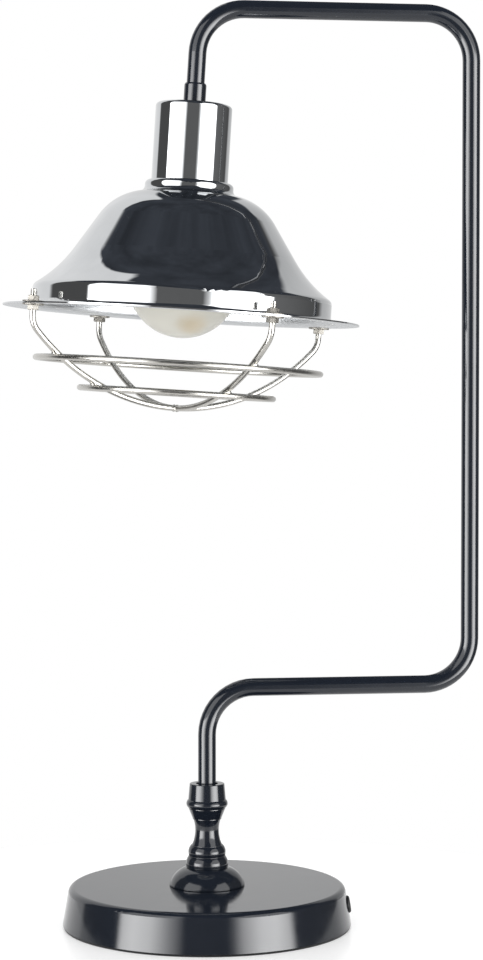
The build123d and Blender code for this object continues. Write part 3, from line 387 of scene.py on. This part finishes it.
def leg_places():
    """A frame on the flange at each leg of the guard, with x pointing out."""
    return [HEAD_FRAME @ turn @ Matrix.Translation((LEG_CIRCLE, 0, 0)) for turn in leg_turns()]


class LAMP_OT_finishes(Operator):
    """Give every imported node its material"""

    bl_idname = "lamp.finishes"
    bl_label = "Finishes"

    def execute(self, context):
        tones = context.scene.lamp_colours
        self.coat_metals(tones)
        self.coat_hidden_metals(tones)
        self.coat_dull_pieces(tones)
        self.coat_bulb(tones)
        return {"FINISHED"}

    def coat_metals(self, tones):
        # Black with a wet gloss: faint reflections face on, which grow to grey where the skin turns away
        enamel = polished(
            "Enamel, gloss black, stoved", tones.enamel, rough=(0.09, 0.14), haze_mm=16, ripple_mm=8,
            ripple_depth_mm=0.006, Metallic=0.0, IOR=1.56,
        )
        dress(enamel, "base_cover", "column_foot", "column_body", "arm_collar", "arm_tube", "head_coupler")
        # A clear mirror on spun sheet, whose slow ripples make edges wander, left unbuffed inside
        chrome = polished(
            "Chrome plate on spun steel", tones.chrome, rough=(0.015, 0.035), haze_mm=12, ripple_mm=30,
            ripple_depth_mm=0.1, inside=0.42,
        )
        dress(chrome, "socket_cup", "shade", "switch_ferrule")
        # A warm bright mirror, softened by the marks of drawing
        wire = polished(
            NICKEL_WIRE, tones.nickel, rough=(0.2, 0.28), haze_mm=5, ripple_mm=8, ripple_depth_mm=0.01
        )
        dress(wire, "guard_long_wire", "guard_short_wires", "guard_upper_ring", "guard_lower_ring")
        # The same metal tumbled in a barrel: a satin gloss with small dull patches
        hardware = polished(
            NICKEL_HARDWARE, tones.hardware, rough=(0.5, 0.62), haze_mm=2, ripple_mm=4, ripple_depth_mm=0.01
        )
        dress(
            hardware, "guard_upper_washers", "guard_lower_washers", "guard_upper_nuts", "guard_lower_nuts"
        )

    def coat_hidden_metals(self, tones):
        # A grey, slightly cloudy metal
        zinc = polished(
            "Zinc plate on turned steel", tones.zinc, rough=(0.28, 0.42), haze_mm=3, ripple_mm=8,
            ripple_depth_mm=0.01,
        )
        dress(
            zinc, "base_rod", "rod_washer", "rod_nut", "swivel_stud", "stop_pin", "spring_washer",
            "swivel_nut", "head_rod", "head_nut", "switch_shaft",
        )
        # Yellow metal with faint drawing haze
        brass = polished(
            "Brass, drawn", tones.brass, rough=(0.12, 0.25), haze_mm=4, ripple_mm=10, ripple_depth_mm=0.01
        )
        dress(brass, "lampholder_shell", "centre_contact")
        # Dark and rough, with the sand's grit in its skin
        iron = grainy(
            "Grey iron, sand cast", tones.iron, rough=(0.6, 0.8), grain_mm=1.2, depth_mm=0.2, contrast=0.25,
            Metallic=0.6,
        )
        dress(iron, "base_weight")

    def coat_dull_pieces(self, tones):
        # Brown pressed fibres with a dull sheen
        fibre = grainy(
            "Hard fibre board, pressed", tones.fibre, rough=(0.55, 0.75), grain_mm=0.8, depth_mm=0.05,
            contrast=0.2,
        )
        dress(fibre, "base_plate")
        # Matted black wool that drinks light and has a soft edge
        felt = grainy(
            "Wool felt, pressed", tones.felt, rough=(0.9, 1.0), grain_mm=0.9, depth_mm=0.35, contrast=0.4,
            Sheen_Weight=0.4,
        )
        dress(felt, "felt_pad")
        # Soft black with a dim broad gloss
        rubber = grainy(
            RUBBER, tones.rubber, rough=(0.4, 0.55), grain_mm=0.7, depth_mm=0.02, contrast=0.15
        )
        dress(rubber, "cord_bushing")
        # Waxy off-white
        nylon = grainy(
            "Nylon, turned", tones.nylon, rough=(0.35, 0.5), grain_mm=1.0, depth_mm=0.02, contrast=0.05,
            Subsurface_Weight=0.1,
        )
        dress(nylon, "swivel_bushes", "thrust_washer")
        # Nearly black brown with a hard gloss
        phenolic = grainy(
            PHENOLIC, tones.phenolic, rough=(0.2, 0.32), grain_mm=0.9, depth_mm=0.01, contrast=0.25
        )
        dress(phenolic, "shade_ring", "lampholder_body", "lampholder_cap", "switch_knob")

    def coat_bulb(self, tones):
        # Milky white, with a faint warm painted shade of the stem and filament low in the middle
        dress(frosted_glass("Glass, frosted inside", tones.bulb, tones.inner_shade), "bulb_glass")
        # Pale soft metal, dulled by rolling
        cap = polished(
            "Aluminium, rolled", tones.aluminium, rough=(0.25, 0.4), haze_mm=4, ripple_mm=8,
            ripple_depth_mm=0.01,
        )
        dress(cap, "bulb_cap", "bulb_tip")
        # Black glass
        vitrite = grainy(
            "Vitrite, pressed glass", tones.vitrite, rough=(0.08, 0.16), grain_mm=2.0, depth_mm=0.01,
            contrast=0.2,
        )
        dress(vitrite, "bulb_insulator")
        # Dull thin wire
        wire = polished(
            "Nickel and tungsten wire, drawn", tones.filament, rough=(0.3, 0.5), haze_mm=2, ripple_mm=5,
            ripple_depth_mm=0.01,
        )
        dress(wire, "bulb_leads", "bulb_filament")
        # Clear, with the press's faint waves
        stem = grainy(
            "Lead glass, pressed", tones.glass, rough=(0.02, 0.08), grain_mm=6.0, depth_mm=0.01,
            contrast=0.03, Transmission_Weight=1.0, IOR=1.54,
        )
        dress(stem, "bulb_stem")


class LAMP_OT_fasteners(Operator):
    """Make the guard's chamfered nuts and rounded washers"""

    bl_idname = "lamp.fasteners"
    bl_label = "Guard fasteners"

    def execute(self, context):
        slope = math.tan(context.scene.lamp_sizes.nut_chamfer)
        washer_levels = {"upper": SHADE_SHEET, "lower": -WASHER_HEIGHT}
        nut_levels = {"upper": SHADE_SHEET + WASHER_HEIGHT, "lower": -WASHER_HEIGHT - NUT_HEIGHT}
        for side, level in washer_levels.items():
            self.make(f"guard_{side}_washers", level, self.washer_section)
        for side, level in nut_levels.items():
            self.make(f"guard_{side}_nuts", level, lambda angle: self.nut_section(angle, slope))
        return {"FINISHED"}

    def make(self, node, level, section):
        bm = bmesh.new()
        for place in leg_places():
            add_turned(bm, section, place @ Matrix.Translation((0, 0, level)), steps=96)
        make_piece(f"{node}_cut", bm, NICKEL_HARDWARE, "arm", crease=25.0, replaced=[node])

    def washer_section(self, angle):
        """A flat ring with edges rounded by the barrel."""
        bore = WIRE_RADIUS + WASHER_GAP
        edge = 0.25 * MM
        outer = WASHER_RADIUS
        top = WASHER_HEIGHT
        soft = edge * 0.3
        return (
            (bore, 0), (outer - edge, 0), (outer - soft, soft), (outer, edge),
            (outer, top - edge), (outer - soft, top - soft), (outer - edge, top), (bore, top),
        )

    def nut_section(self, angle, slope):
        """Half a cut through a hexagon whose corners are turned off by a cone at both ends."""
        half = NUT_FLATS / 2
        face = half * 0.95
        bore = WIRE_RADIUS + NUT_GAP
        lead = 0.35 * MM
        mouth = bore + lead
        flat = math.radians(60)
        radius = half / math.cos(angle % flat - flat / 2)
        turned = (radius - face) * slope
        top = NUT_HEIGHT
        return (
            (bore, lead), (mouth, 0), (face, 0), (radius, turned),
            (radius, top - turned), (face, top), (mouth, top), (bore, top - lead),
        )


class LAMP_OT_threads(Operator):
    """Cut the threads and round the tips of the guard's four wire ends"""

    bl_idname = "lamp.threads"
    bl_label = "Wire ends"

    def execute(self, context):
        sizes = context.scene.lamp_sizes
        low = SHADE_SHEET + WASHER_HEIGHT + NUT_HEIGHT
        high = low + THREAD_END
        sunk = 0.3 * MM
        bm = bmesh.new()
        for place in leg_places():
            self.add_thread(bm, place, low - sunk, high - sunk, sizes.thread_pitch, sizes.thread_crest)
            add_turned(bm, lambda angle: self.tip_section(high), place, steps=32)
        make_piece("guard_wire_ends", bm, NICKEL_WIRE, "arm", crease=50.0)
        return {"FINISHED"}

    def add_thread(self, bm, place, low, high, pitch, crest):
        """A ridge that climbs round the wire and runs out at its ends."""
        steps = 24
        count = int((high - low) / pitch * steps)
        root = WIRE_RADIUS - 0.05 * MM
        foot = pitch * 0.45
        flat = pitch * 0.08
        before = None
        for step in range(count + 1):
            angle = math.tau * step / steps
            along = Vector((math.cos(angle), math.sin(angle), 0.0))
            height = low + pitch * step / steps
            top = WIRE_RADIUS + crest * min(1.0, step / steps, (count - step) / steps)
            points = (
                (root, height - foot), (top, height - flat), (top, height + flat), (root, height + foot)
            )
            row = [bm.verts.new(place @ (along * r + Vector((0, 0, h)))) for r, h in points]
            if before:
                for i in range(len(row)):
                    bm.faces.new((before[i - 1], before[i], row[i], row[i - 1]))
            else:
                bm.faces.new(row)
            before = row
        bm.faces.new(before[::-1])

    def tip_section(self, high):
        """A low dome on the wire's cut end."""
        dome = 0.55 * MM
        rim = WIRE_RADIUS - 0.02 * MM
        sunk = 0.2 * MM
        arc = [math.radians(a) for a in range(0, 91, 15)]
        outline = [(rim * math.cos(a), high + dome * math.sin(a)) for a in arc]
        return [(0.0, high - sunk), (rim, high - sunk), *outline]


class LAMP_OT_welds(Operator):
    """Add the lumps of metal where the guard's wires are welded"""

    bl_idname = "lamp.welds"
    bl_label = "Welds"

    def execute(self, context):
        reach = context.scene.lamp_sizes.weld_reach
        girth = WIRE_RADIUS * 1.18
        bm = bmesh.new()
        for index, turn in enumerate(leg_turns()):
            for angle in RING_ANGLES:
                out = Vector((math.sin(angle), 0, -math.cos(angle)))
                touch = Vector((0, 0, BOWL_CENTRE)) + out * (BOWL_RADIUS + WIRE_RADIUS)
                lie = Matrix.Translation(touch) @ Matrix.Rotation(math.pi - angle, 4, "Y")
                self.add_lump(bm, HEAD_FRAME @ turn @ lie, (reach * 0.75, reach, WIRE_RADIUS * 0.72), index)
            # The two half wires butt against the long wire at the guard's bottom
            if index % 2:
                butt = Matrix.Translation((WIRE_RADIUS, 0, BOWL_CENTRE - BOWL_RADIUS))
                self.add_lump(bm, HEAD_FRAME @ turn @ butt, (reach * 0.45, girth, girth), index)
        make_piece("guard_welds", bm, NICKEL_WIRE, "arm", crease=180.0)
        return {"FINISHED"}

    def add_lump(self, bm, place, radii, seed):
        """A flattened bead with an uneven skin."""
        unevenness = 0.14
        waves = 1.7
        shift = Vector((7.0 * seed, 0, 0))
        made = bmesh.ops.create_icosphere(bm, subdivisions=3, radius=1.0)
        for vert in made["verts"]:
            swell = 1.0 + unevenness * noise.noise(vert.co * waves + shift)
            vert.co = place @ Vector([c * r * swell for c, r in zip(vert.co, radii)])


class LAMP_OT_bushing(Operator):
    """Make the rounded rubber bushing in the base's wall"""

    bl_idname = "lamp.bushing"
    bl_label = "Cord bushing"

    def execute(self, context):
        spin = Matrix.Rotation(EXIT_ANGLE, 4, "Z")
        lean = Matrix.Rotation(math.pi / 2 - math.atan(WALL_LEAN), 4, "Y")
        place = spin @ Matrix.Translation((EXIT_RADIUS, 0, EXIT_HEIGHT)) @ lean
        bm = bmesh.new()
        add_turned(bm, self.section, place, steps=72)
        make_piece(
            "cord_bushing_moulded", bm, RUBBER, "base", crease=40.0,
            replaced=["cord_bushing"],
        )
        return {"FINISHED"}

    def section(self, angle):
        """A bore with a rounded mouth, a domed head outside the wall and a lip behind it."""
        outline = (
            (3.4, -6.4), (3.4, 0.9), (3.6, 1.35), (4.05, 1.6), (4.6, 1.55),
            (5.2, 1.3), (5.6, 0.9), (5.78, 0.45), (5.8, 0.0), (4.8, 0.0),
            (4.8, -1.22), (5.4, -1.26), (5.38, -1.7), (4.85, -3.7), (4.8, -6.4),
        )
        return [(r * MM, h * MM) for r, h in outline]


class LAMP_OT_knob(Operator):
    """Make the fluted switch knob behind the cup"""

    bl_idname = "lamp.knob"
    bl_label = "Switch knob"

    def execute(self, context):
        sizes = context.scene.lamp_sizes
        low, high = (Vector(corner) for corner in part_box("switch_knob"))
        middle = (low + high) / 2
        radius = (high.x - low.x) / 2
        reach = high.y - low.y
        place = Matrix.Translation((middle.x, low.y, middle.z)) @ Matrix.Rotation(-math.pi / 2, 4, "X")

        def section(angle):
            groove = sizes.knob_flute_depth * max(0.0, math.cos(angle * sizes.knob_flutes)) ** 2.0
            return self.section(groove, radius, reach)

        bm = bmesh.new()
        add_turned(bm, section, place, steps=240)
        make_piece(
            "switch_knob_moulded", bm, PHENOLIC, "switch", crease=40.0,
            replaced=["switch_knob"],
        )
        return {"FINISHED"}

    def section(self, groove, radius, reach):
        """From the shaft's bore over the fluted side to a dished end with a rounded rim."""
        bore = 2.04 * MM
        bore_depth = 9.0 * MM
        side = radius - groove
        soft = radius - groove * 0.55
        rim = 0.8 * MM
        dish = 0.35 * MM
        return (
            (0.0, bore_depth), (bore, bore_depth), (bore, 0.0), (side - rim * 0.5, 0.0),
            (side, rim * 0.5), (side, reach - rim * 2), (side - rim * 0.15, reach - rim),
            (soft - rim * 0.7, reach - rim * 0.25), (radius - rim * 2.2, reach),
            (radius - rim * 2.9, reach - dish * 0.3), (radius * 0.35, reach - dish), (0.0, reach - dish),
        )


class LAMP_OT_stage(Operator):
    """Set up the floor, the studio's light and the camera"""

    bl_idname = "lamp.stage"
    bl_label = "Studio"

    def execute(self, context):
        scene = context.scene
        studio = scene.lamp_studio
        scene.view_settings.view_transform = "Standard"
        self.make_world(scene, studio)
        self.make_floor(scene, studio)
        self.make_light(scene, "overhead", studio.overhead_power, size=2.0, location=(0.0, 0.0, 2.2))
        self.make_light(scene, "fill", studio.fill_power, size=1.2, location=(-0.5, -1.5, 0.25))
        self.make_camera(scene, studio)
        return {"FINISHED"}

    def make_world(self, scene, studio):
        """White to the camera, an even light to dull surfaces, and the studio to gloss and glass."""
        world = bpy.data.worlds.new("Studio")
        world.use_nodes = True
        scene.world = world
        tree = world.node_tree
        tree.nodes.clear()
        room = self.room_colour(tree, studio)
        panels = add(tree, "ShaderNodeBackground", {"Color": room, "Strength": studio.box_light})
        even = add(tree, "ShaderNodeBackground", {"Color": WHITE, "Strength": studio.room_light})
        white = add(tree, "ShaderNodeBackground", {"Color": WHITE, "Strength": 1.0})
        rays = add(tree, "ShaderNodeLightPath").outputs
        mirror = add(
            tree, "ShaderNodeMath", {0: rays["Is Glossy Ray"], 1: rays["Is Transmission Ray"]},
            operation="MAXIMUM",
        )
        light = add(tree, "ShaderNodeMixShader", {0: mirror, 1: even, 2: panels})
        shown = add(tree, "ShaderNodeMixShader", {0: rays["Is Camera Ray"], 1: light, 2: white})
        add(tree, "ShaderNodeOutputWorld", {"Surface": shown})

    def room_colour(self, tree, studio):
        """The studio in each direction, as a share of the soft boxes' light: the white backdrop behind the
        lamp, the two soft boxes in front of it, the dark between them and the ceiling above them."""
        place = add(tree, "ShaderNodeTexCoord").outputs["Generated"]
        turned = add(
            tree, "ShaderNodeVectorRotate", {"Vector": place, "Angle": studio.camera_turn},
            rotation_type="Z_AXIS",
        )
        axes = add(tree, "ShaderNodeSeparateXYZ", {"Vector": turned}).outputs
        towards = add(tree, "ShaderNodeMath", {0: axes["Y"], 1: -1.0}, operation="MULTIPLY")
        bearing = add(tree, "ShaderNodeMath", {0: axes["X"], 1: towards}, operation="ARCTAN2")
        share = add(
            tree, "ShaderNodeMapRange", {"Value": bearing, "From Min": -math.pi, "From Max": math.pi}
        )
        # Height above the horizon, where 1 is straight up
        rise = add(tree, "ShaderNodeMath", {0: axes["Z"]}, operation="ARCSINE")
        height = add(tree, "ShaderNodeMath", {0: rise, 1: 2 / math.pi}, operation="MULTIPLY")
        # Light of the panels round the lamp, by their bearing from the camera's side
        box = studio.box_light
        backdrop = 1.0
        flag = 0.1
        front = 0.16
        belt = add(tree, "ShaderNodeValToRGB", {"Fac": share})
        self.set_stops(belt, box, (
            (-180, backdrop * 0.9), (-176, backdrop * 0.82), (-160, backdrop), (-121, backdrop),
            (-116, flag), (-75, flag), (-71, box * 0.8), (-60, box), (-45, box * 0.85), (-30, box * 0.35),
            (-20, backdrop), (-17, front), (17, front), (22, backdrop), (30, box * 0.5), (45, box * 0.95),
            (58, box), (70, box * 0.7), (76, flag * 2), (130, flag), (138, backdrop * 0.62),
            (165, backdrop * 0.72), (180, backdrop * 0.9),
        ))
        # The soft boxes are brightest at their middle, near the horizon
        bright_to = 0.1
        dim_from = 0.145
        dim = 2.2
        most = add(
            tree, "ShaderNodeMapRange",
            {
                "Value": height, "From Min": bright_to, "From Max": dim_from, "To Min": 1.0,
                "To Max": dim / box,
            },
        )
        panel = add(tree, "ShaderNodeMath", {0: belt, 1: most}, operation="MINIMUM")
        # Height of the panels' top edges above the horizon, in degrees
        skyline = add(tree, "ShaderNodeValToRGB", {"Fac": share})
        self.set_stops(skyline, 90, (
            (-180, 27), (-168, 45), (-155, 64), (-148, 67), (-140, 58), (-124, 44), (-72, 44), (-30, 44),
            (18, 20), (26, 26), (40, 44), (76, 44), (84, 34), (130, 32), (140, 38), (160, 40), (173, 20),
            (180, 27),
        ))
        soft_edge = 0.025
        over = add(tree, "ShaderNodeMath", {0: height, 1: skyline}, operation="SUBTRACT")
        ceiling = add(
            tree, "ShaderNodeMapRange", {"Value": over, "From Min": -soft_edge, "From Max": soft_edge},
            interpolation_type="SMOOTHSTEP",
        )
        # The dark ceiling is uneven, with lighter drifts of stray light
        drift = add(tree, "ShaderNodeTexNoise", {"Vector": place, "Scale": 4.0, "Detail": 3.0})
        dark = tuple(c / box for c in (0.052, 0.058, 0.07))
        clouds = add(
            tree, "ShaderNodeMix", {FACTOR: drift, FIRST: shaded(dark, 0.2), SECOND: shaded(dark, 1.8)},
            data_type="RGBA",
        )
        above = add(
            tree, "ShaderNodeMix", {FACTOR: ceiling, FIRST: panel, SECOND: clouds}, data_type="RGBA"
        )
        # Low down, the backdrop runs on as a white floor on all sides
        ground_edge = -0.28
        ground_full = -0.36
        pale = backdrop / box
        ground = add(
            tree, "ShaderNodeMapRange", {"Value": height, "From Min": ground_edge, "From Max": ground_full},
            interpolation_type="SMOOTHSTEP",
        )
        return add(
            tree, "ShaderNodeMix", {FACTOR: ground, FIRST: above, SECOND: (pale, pale, pale, 1.0)},
            data_type="RGBA",
        )

    def set_stops(self, node, full, stops):
        """Give a ramp round the lamp its (bearing in degrees, value) stops, where a full value is white."""
        ramp = node.color_ramp.elements
        ramp.remove(ramp[1])
        for index, (degrees, value) in enumerate(stops):
            spot = (degrees + 180) / 360
            element = ramp.new(spot) if index else ramp[0]
            element.position = spot
            element.color = (value / full, value / full, value / full, 1.0)

    def make_floor(self, scene, studio):
        """A round pale table top. The camera and gloss see it white, and it keeps the lamp's shadow."""
        bm = bmesh.new()
        bmesh.ops.create_circle(bm, cap_ends=True, segments=96, radius=studio.floor_radius)
        mesh = bpy.data.meshes.new("floor")
        bm.to_mesh(mesh)
        bm.free()
        floor = bpy.data.objects.new("floor", mesh)
        # A hair under the felt, so that the two don't lie in one plane
        floor.location.z = -0.2 * MM
        scene.collection.objects.link(floor)
        # White plastic with a soft gloss and a speckle that is almost too faint to see
        material, tree, place = new_material("Acrylic sheet, white")
        speckle = add(tree, "ShaderNodeTexNoise", {"Vector": place, "Scale": per_metre(3)})
        sheet = add(
            tree, "ShaderNodeMix",
            {FACTOR: speckle, FIRST: (*linear("#e6e6e6"), 1.0), SECOND: (*linear("#ebebeb"), 1.0)},
            data_type="RGBA",
        )
        rays = add(tree, "ShaderNodeLightPath").outputs
        mirror = add(
            tree, "ShaderNodeMath", {0: rays["Is Glossy Ray"], 1: rays["Is Transmission Ray"]},
            operation="MAXIMUM",
        )
        seen = add(tree, "ShaderNodeMath", {0: rays["Is Camera Ray"], 1: mirror}, operation="MAXIMUM")
        lift = 0.36
        glow = add(tree, "ShaderNodeMath", {0: seen, 1: lift}, operation="MULTIPLY")
        close_material(
            tree, {"Base Color": sheet, "Emission Strength": glow},
            {"Roughness": 0.25, "IOR": 1.49, "Emission_Color": WHITE},
        )
        mesh.materials.append(material)

    def make_light(self, scene, name, power, size, location):
        """A large soft light that mirrors don't show, turned towards the lamp's middle."""
        middle = Vector((0.0, 0.0, 0.3))
        light = bpy.data.lights.new(name, "AREA")
        light.shape = "DISK"
        light.size = size
        light.energy = power
        lamp = bpy.data.objects.new(name, light)
        lamp.location = location
        lamp.rotation_euler = (middle - lamp.location).to_track_quat("-Z", "Y").to_euler()
        lamp.visible_glossy = False
        lamp.visible_camera = False
        scene.collection.objects.link(lamp)

    def make_camera(self, scene, studio):
        """A long lens at the height of the guard, a little to the left of a square view of the arm."""
        ahead = Vector((math.sin(studio.camera_turn), math.cos(studio.camera_turn), 0.0))
        aside = Vector((math.cos(studio.camera_turn), -math.sin(studio.camera_turn), 0.0))
        data = bpy.data.cameras.new("camera")
        data.lens = studio.camera_lens
        camera = bpy.data.objects.new("camera", data)
        camera.location = aside * studio.camera_aside - ahead * studio.camera_distance
        camera.location.z = studio.camera_height
        view = ahead * math.cos(studio.camera_pitch) - Vector((0, 0, math.sin(studio.camera_pitch)))
        camera.rotation_euler = view.to_track_quat("-Z", "Y").to_euler()
        scene.collection.objects.link(camera)
        scene.camera = camera


MAKERS = (
    LAMP_OT_finishes, LAMP_OT_fasteners, LAMP_OT_threads, LAMP_OT_welds, LAMP_OT_bushing, LAMP_OT_knob,
    LAMP_OT_stage,
)


class LAMP_PT_panel(Panel):
    """Sizes, colours and makers of the lamp"""

    bl_idname = "LAMP_PT_panel"
    bl_label = "Lamp"
    bl_space_type = "VIEW_3D"
    bl_region_type = "UI"
    bl_category = "Lamp"

    def draw(self, context):
        scene = context.scene
        for group in (scene.lamp_colours, scene.lamp_sizes, scene.lamp_studio):
            box = self.layout.box()
            for name in group.bl_rna.properties.keys():
                if name not in ("rna_type", "name"):
                    box.prop(group, name)
        for maker in MAKERS:
            self.layout.operator(maker.bl_idname)


CLASSES = (LampColours, LampSizes, LampStudio, *MAKERS, LAMP_PT_panel)


def register():
    for item in CLASSES:
        bpy.utils.register_class(item)
    bpy.types.Scene.lamp_colours = PointerProperty(type=LampColours)
    bpy.types.Scene.lamp_sizes = PointerProperty(type=LampSizes)
    bpy.types.Scene.lamp_studio = PointerProperty(type=LampStudio)


def unregister():
    del bpy.types.Scene.lamp_studio
    del bpy.types.Scene.lamp_sizes
    del bpy.types.Scene.lamp_colours
    for item in reversed(CLASSES):
        bpy.utils.unregister_class(item)


def main():
    register()
    bpy.ops.lamp.finishes()
    bpy.ops.lamp.fasteners()
    bpy.ops.lamp.threads()
    bpy.ops.lamp.welds()
    bpy.ops.lamp.bushing()
    bpy.ops.lamp.knob()
    bpy.ops.lamp.stage()


if __name__ == "__main__":
    main()
